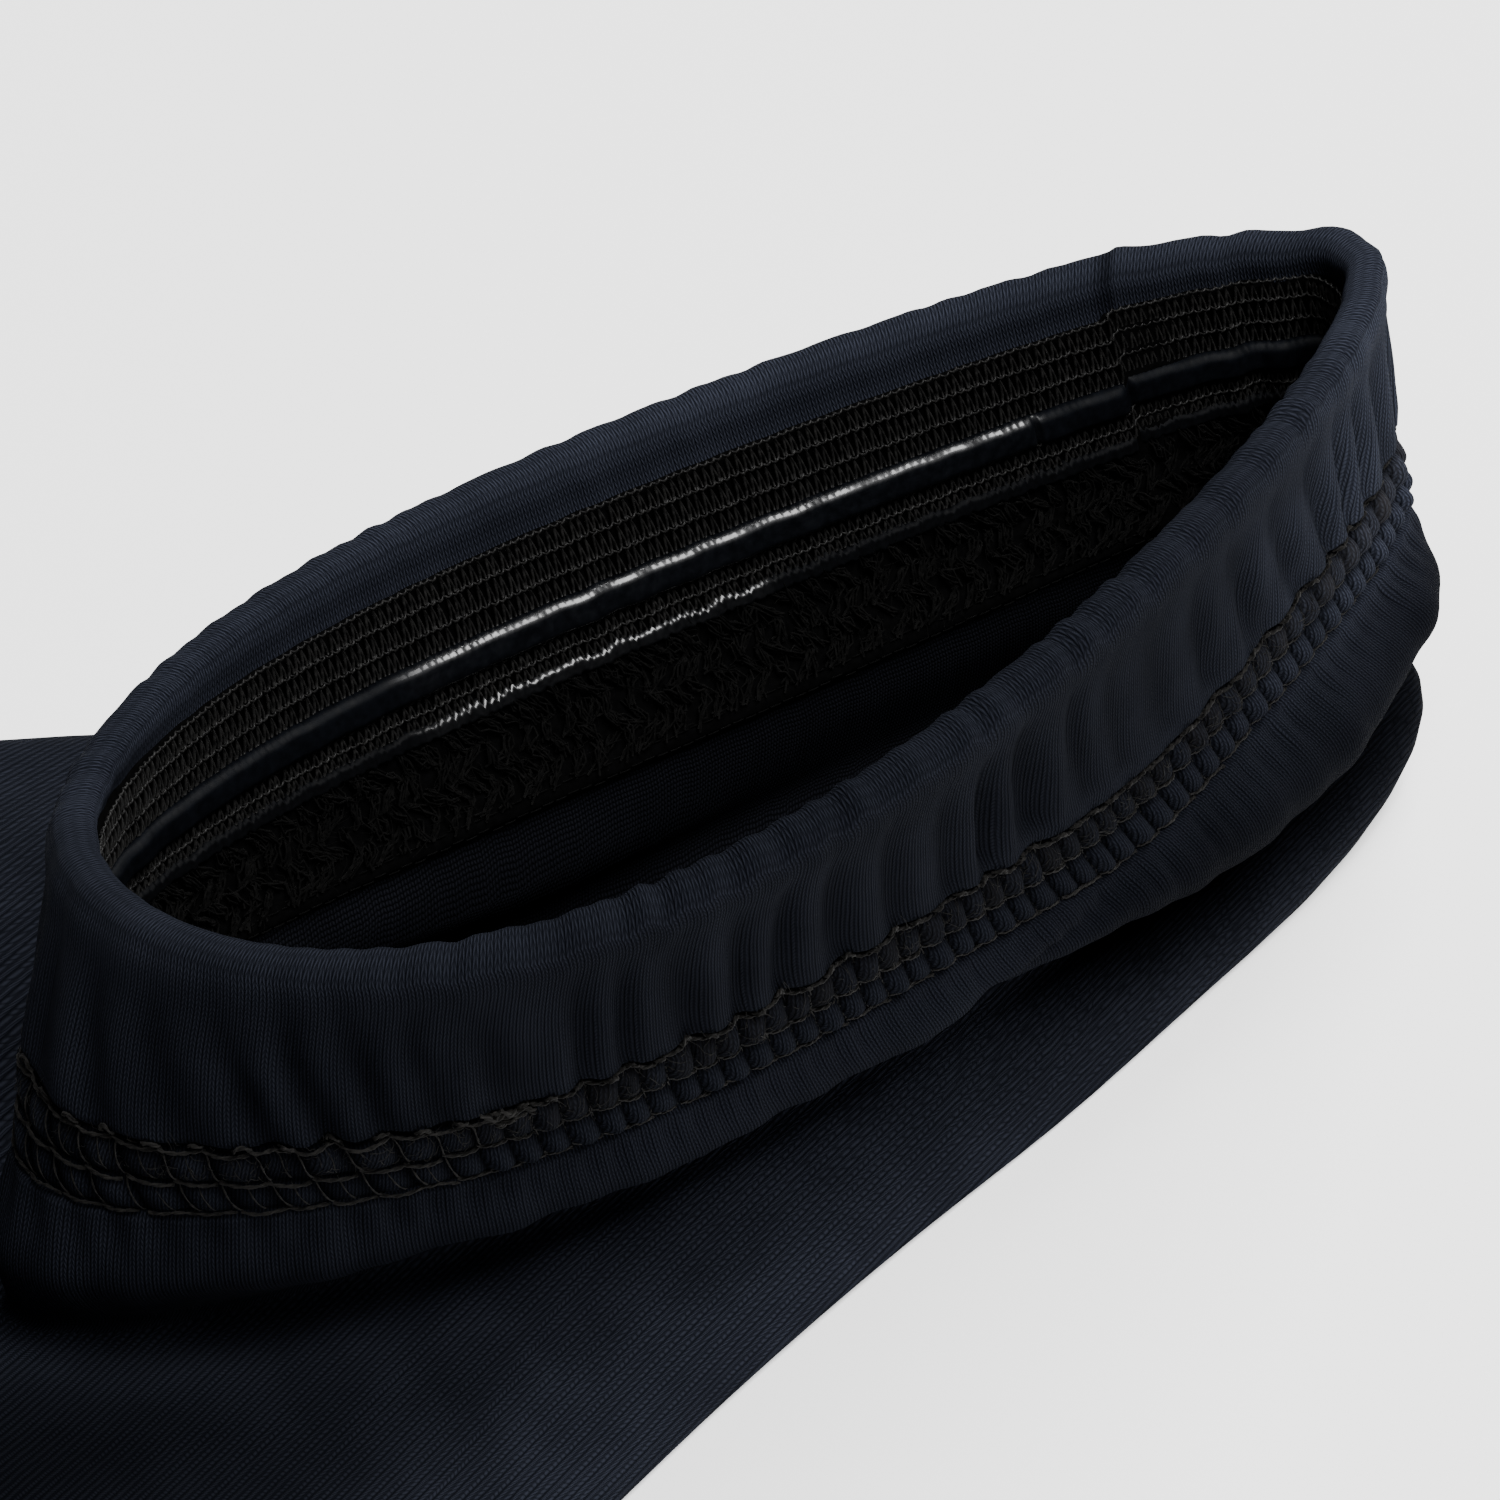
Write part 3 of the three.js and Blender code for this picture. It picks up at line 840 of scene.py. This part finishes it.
def hook_loops():
    """Knobs where the cover thread turns round the upper needle line."""
    turn = np.linspace(0.05, 0.95, 9) * math.pi
    reach = random.uniform(0.7, 1.3, (len(needle_gaps), 1)) * low_at_heel(needle_places)[:, None]
    shares = needle_places[:, None] + needle_gaps * (0.13 - 0.17 * np.cos(turn))
    rows = band_row(0.0, shares) - 0.03 - 0.085 * reach * np.sin(turn)
    height = (0.14 + 0.14 * np.sin(turn) * reach) * low_at_heel(shares)
    paths, normals = on_cloth(rows, shares, height)
    return plied(paths, normals, 0.15, 2, 1.0)


def backtack_threads():
    """Bunched threads where the stitching starts over its own end."""
    count = 16
    run = np.linspace(0, 1, 9)
    start = backtack_around + random.uniform(-0.008, 0.006, (count, 1))
    shares = start + random.uniform(0.003, 0.008, (count, 1)) * run
    rows = random.uniform(1.94, 2.16, (count, 1)) + random.normal(0, 0.05, (count, 1)) * run
    height = random.uniform(0.2, 0.45, (count, 1)) * arch(run) + 0.3
    paths, normals = on_cloth(rows + stitch_sag(shares), shares, height)
    return plied(paths, normals, 0.16, 2, 1.2)


def cover_stitching():
    groups = needle_stitches() + cover_threads() + hook_loops() + backtack_threads() + nap_fibres()
    return add_tubes("cover_stitching", groups, stitch_yarn)


def stitched_puffs():
    """Cloth of the stitched band, puffed out between the needle lines. Its edges dive under the lines."""
    steps = 1600
    shares = np.arange(steps) / steps
    places = np.linspace(-0.12, 2.12, 30)[:, None] + 0 * shares
    wide = shares + 0 * places
    rows = band_row(places, wide)
    face = on_cloth(rows, wide, band_height(places, wide))[0]
    under = [28, 15, 1]
    back = on_cloth(rows[under], wide[under], np.full((3, steps), -0.3))[0]
    points = np.concatenate([face, back])
    piece = add_piece("stitched_puffs", points, band_quads(len(points), steps), knit_face)
    all_rows = np.concatenate([rows, rows[under]])
    all_shares = np.repeat(shares[None], len(points), 0)
    along = sample(course_lengths[..., None], all_rows, all_shares)[..., 0] / course_pitch
    values = np.stack([all_shares * wale_count, along], axis=-1)
    add_uv(piece, values, steps, wale_count, values, (0, 0))
    nap = smooth_step(places, 1.1, 0.9) * (0.34 + 0.26 * ripple(wide, (31, 47, 83), 71))
    nap = np.clip(nap * (1 - 0.7 * long_stitch(wide)), 0, 1)
    add_tone(piece, "nap", np.concatenate([nap, nap[under]]))
    # Painted light and shade of the sleeve, with painted shade in the pits between the puffs
    fade = sample(painted_tone_grid[..., None], all_rows, all_shares)[..., 0]
    pit_shade = 0.7 * smooth_step(band_height(places, wide), 0.75, 0.2)
    fade = (1 + fade) * (1 - np.concatenate([pit_shade, pit_shade[under]])) - 1
    add_tone(piece, "fade", fade)
    return piece


def wrist_stitching():
    """Plain twin row of stitches that holds the wrist's turned edge."""
    count = 76
    run = np.linspace(0, 1, 7)
    groups = []
    for row in wrist_lines:
        shares = (np.arange(count)[:, None] + 0.08 + 0.84 * run) / count
        rows = np.full(shares.shape, row)
        paths, normals = on_cloth(rows, shares, 0.32 * arch(run) - 0.06 + 0 * shares)
        groups.append((paths, normals, 0.17, 6))
    return add_tubes("wrist_stitching", groups, stitch_yarn)


# The gripper tape inside the cuff and what is on it
def tape_piece():
    steps = 400
    shares = np.arange(steps) / steps
    face_rows = np.linspace(tape_top + 0.03, tape_bottom, 44)
    relief = -0.7 * (bump(face_rows, face_rows[0], 0.02) + bump(face_rows, tape_bottom, 0.03))
    for top, bottom in ladder_rows:
        relief -= 0.16 * bump(face_rows, (top + bottom) / 2, (bottom - top) * 0.3)
    all_shares = np.repeat(shares[None], len(face_rows), 0)
    all_rows = np.repeat(face_rows[:, None], steps, 1)
    face, normals = on_lining(all_rows, all_shares, relief[:, None] + 0 * all_shares)
    seam_gap = gap_from(all_shares, seam_around)
    overlap = 0.28 * between(seam_gap, -0.0005, 0.001, 0.012, 0.03)
    face = face + normals * overlap[..., None]
    back_rows = np.linspace(tape_bottom, tape_top + 0.03, 4)[:, None] + 0 * shares
    back = sample(tape_back, back_rows + tape_shift(back_rows * 0 + shares), back_rows * 0 + shares)
    points = np.concatenate([face, back])
    return add_piece("grip_tape", points, band_quads(len(points), steps)[:, ::-1], tape_weave)


def ladder_threads():
    """Woven-in rows of leaning strands, each with a chained upper edge."""
    count = 372
    places = (np.arange(count)[:, None] + random.normal(0, 0.07, (count, 1))) / count
    run = np.linspace(0, 1, 4)
    groups = []
    for top, bottom in ladder_rows:
        jitter = random.normal(0, 0.1, (count, 1))
        for foot, thick in ((-0.34, 0.105), (0.34, 0.09)):
            shares = places + (jitter * 0.5 + foot * run**0.8) / count
            rows = top + (bottom - top) * (0.10 + 0.86 * run) + 0 * shares
            height = 0.10 + 0.14 * arch(run) + random.normal(0, 0.02, (count, 1))
            paths, normals = on_lining(rows, shares, height)
            groups.append((paths, normals, thick, 4))
        for half in (0, 1):
            shares = places + (0.5 * half + 0.62 * (run - 0.5)) / count
            rows = top + 0.03 * (run - 0.5) * (1 - 2 * half) + random.normal(0, 0.003, (count, 1))
            paths, normals = on_lining(rows, shares, 0.12 + 0.14 * arch(run) + 0 * shares)
            groups.append((paths, normals, 0.08, 4))
    return add_tubes("tape_ladder_threads", groups, tape_yarn)


def edge_threads():
    """Two fine rows of stitches along the tape's lower edge."""
    count = 230
    run = np.linspace(0, 1, 5)
    groups = []
    for row in edge_lines:
        shares = (np.arange(count)[:, None] + 0.1 + 0.8 * run) / count
        rows = row + random.normal(0, 0.006, (count, 1)) + 0 * shares
        paths, normals = on_lining(rows, shares, 0.12 * arch(run) + 0.02 + 0 * shares)
        groups.append((paths, normals, 0.06, 4))
    return add_tubes("tape_edge_threads", groups, edge_yarn)


def woolly_band():
    """Fluffy looper yarn behind the cover stitching: four rows of leaning curls, with loose fibres."""
    count = 170
    run = np.linspace(0, 1, 5)
    groups = []
    edges = np.linspace(*fuzz_edges, 5)
    for column in range(4):
        lean = 0.8 if column % 2 == 0 else -0.8
        places = (np.arange(count)[:, None] + 0.5 * column + random.normal(0, 0.2, (count, 1))) / count
        size = random.uniform(0.3, 1.3, (count, 1))
        for strand in range(6):
            side = random.uniform(-1, 1, (count, 1))
            lean = lean + random.normal(0, 0.3, (count, 1))
            belly = arch(0.1 + 0.8 * run)
            sway = 0.34 * side * belly + random.normal(0, 0.09, (count, len(run)))
            shares = places + (lean * (run - 0.5) + sway) / count
            rows = edges[column] + (edges[column + 1] - edges[column]) * (1.15 * run - 0.08)
            rows = rows + random.normal(0, 0.022, (count, len(run)))
            height = 0.12 + 0.5 * size * belly * random.uniform(0.5, 1.2, (count, 1))
            paths, normals = on_lining(rows, shares, height + random.normal(0, 0.07, (count, len(run))))
            groups.append((paths, normals, 0.08, 4))
    hairs = 1200
    run = np.linspace(0, 1, 4)
    start = random.uniform(0, 1, (hairs, 1))
    shares = start + random.normal(0, 0.003, (hairs, 1)) * run + random.normal(0, 0.0006, (hairs, 4))
    rows = random.uniform(*fuzz_edges, (hairs, 1))
    rows = rows + random.normal(0, 0.08, (hairs, 1)) * run
    height = 0.3 + random.uniform(0.2, 0.8, (hairs, 1)) * run**0.8
    paths, normals = on_lining(rows, shares, height)
    groups.append((paths, normals, 0.03 * (1 - 0.6 * run), 4))
    return add_tubes("woolly_looper_yarn", groups, woolly_yarn)


def silicone_piece(name, strip, material, height, ragged, grain, gaps, shiny):
    """Raised strip of silicone laid on the tape. Its upper edge creeps into the threads above."""
    steps = 1200
    shares = np.arange(steps) / steps
    profile = np.linspace(0, 1, 11)
    creep = ripple(shares, (391, 402, 417, 611), 61) + 0.4 * ripple(shares, (57, 83), 62)
    edge = ragged * np.clip(creep, -1, 1)
    top = strip[0] + edge - 0.3 * ragged
    bottom = strip[1] + 0.3 * ragged * ripple(shares, (211, 307), 63)
    rows = top + (bottom - top) * profile[:, None]
    dome = height * np.clip(profile / 0.22, 0, 1) ** 0.8 * np.clip((1 - profile) / 0.12, 0, 1) ** 0.5
    uneven = 1 + 0.08 * ripple(shares, (23, 41, 67), 64) + grain * ripple(shares, (170, 230, 410), 65)
    rise = dome[:, None] * uneven
    for place, width in gaps:
        rise = rise * (1 - 0.85 * bump(gap_from(shares, place), 0, width))
    wide = np.repeat(shares[None], len(profile), 0)
    face = on_lining(rows, wide, 0.04 + rise)[0]
    back = on_lining(rows[::-1][[1, 5, 9]], wide[:3], np.full((3, steps), -0.08))[0]
    points = np.concatenate([face, back])
    piece = add_piece(name, points, band_quads(len(points), steps)[:, ::-1], material)
    start, end = shiny
    dull = 1 - between(shares, start - 0.012, start + 0.012, end - 0.004, end + 0.004)
    add_tone(piece, "dull", np.tile(dull, len(points)))
    return piece


sleeve = sleeve_piece()
stitching = cover_stitching()
puffs = stitched_puffs()
wrist_rows = wrist_stitching()
tape = tape_piece()
ladder = ladder_threads()
edge = edge_threads()
woolly = woolly_band()
cut_around = around_at(math.radians(217), 1.1)
strip_upper = silicone_piece(
    "grip_strip_upper",
    upper_strip,
    silicone_upper,
    height=0.7,
    ragged=0.010,
    grain=0.02,
    gaps=[(seam_around, 0.0012), (cut_around, 0.0008)],
    shiny=(around_at(math.radians(163), 1.1), cut_around),
)
strip_lower = silicone_piece(
    "grip_strip_lower",
    lower_strip,
    silicone_lower,
    height=0.4,
    ragged=0.05,
    grain=0.28,
    gaps=[(seam_around, 0.0012)],
    shiny=(around_at(math.radians(164), 1.5), around_at(math.radians(192), 1.5)),
)

# Riding and replacing
for piece, node, slot in (
    (sleeve, "knit_sleeve", "knit_navy"),
    (tape, "gripper_tape", "tape_black"),
    (strip_upper, "silicone_strip_upper", "silicone_upper"),
    (strip_lower, "silicone_strip_lower", "silicone_lower"),
):
    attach(piece, "root")
    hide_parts(node)
for piece, slot in (
    (stitching, "knit_navy"),
    (puffs, "knit_navy"),
    (wrist_rows, "knit_navy"),
    (ladder, "tape_black"),
    (edge, "tape_black"),
    (woolly, "tape_black"),
):
    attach(piece, "root")


# Floor, light and camera
def floor_piece():
    bpy.ops.mesh.primitive_plane_add(size=6)
    floor = bpy.context.object
    floor.name = "floor"
    material, shader = new_material("pale_floor", grey(0.86), 0.9)
    nodes = Nodes(material)
    colour = nodes.ramp(nodes.noise(3.0), [(0.3, grey(0.85)), (0.7, grey(0.88))])
    nodes.join(colour, shader.inputs["Base Color"])
    shader.inputs["Emission Color"].default_value = (1, 1, 1, 1)
    shader.inputs["Emission Strength"].default_value = 0.55
    floor.data.materials.append(material)


def soft_light(name, place, aim, size, power):
    light = bpy.data.lights.new(name, "AREA")
    light.shape = "RECTANGLE"
    light.size = size[0]
    light.size_y = size[1]
    light.energy = power
    lamp = bpy.data.objects.new(name, light)
    lamp.location = place
    lamp.rotation_euler = (Vector(aim) - Vector(place)).to_track_quat("-Z", "Y").to_euler()
    bpy.context.scene.collection.objects.link(lamp)


def studio():
    world = bpy.data.worlds.new("studio")
    world.use_nodes = True
    background = world.node_tree.nodes["Background"]
    background.inputs["Color"].default_value = (1, 1, 1, 1)
    background.inputs["Strength"].default_value = 0.22
    bpy.context.scene.world = world
    cuff = (0.14, -0.03, 0.03)
    soft_light("overhead", (0.10, -0.38, 0.86), cuff, size=(0.6, 0.5), power=19)
    soft_light("right_high", (0.86, 0.10, 0.72), cuff, size=(0.45, 0.4), power=13.5)


def photo_camera():
    azimuth = math.radians(-55)
    elevation = math.radians(40)
    flat = math.cos(elevation)
    back = Vector((math.sin(azimuth) * flat, -math.cos(azimuth) * flat, math.sin(elevation)))
    right = Vector((math.cos(azimuth), math.sin(azimuth), 0))
    up = back.cross(right)
    mouth = Vector((np.array([0, 0, 43.2]) + table_to_frame) * 0.001)
    distance = 0.504
    place = mouth + back * distance
    aim = mouth + right * 0.001806 - up * 0.01045
    data = bpy.data.cameras.new("camera")
    focal_pixels = 7812
    photo_pixels = 1500
    data.sensor_width = 36
    data.lens = data.sensor_width * focal_pixels / photo_pixels
    camera = bpy.data.objects.new("camera", data)
    camera.location = place
    camera.rotation_euler = (aim - place).to_track_quat("-Z", "Y").to_euler()
    bpy.context.scene.collection.objects.link(camera)
    bpy.context.scene.camera = camera


floor_piece()
studio()
photo_camera()
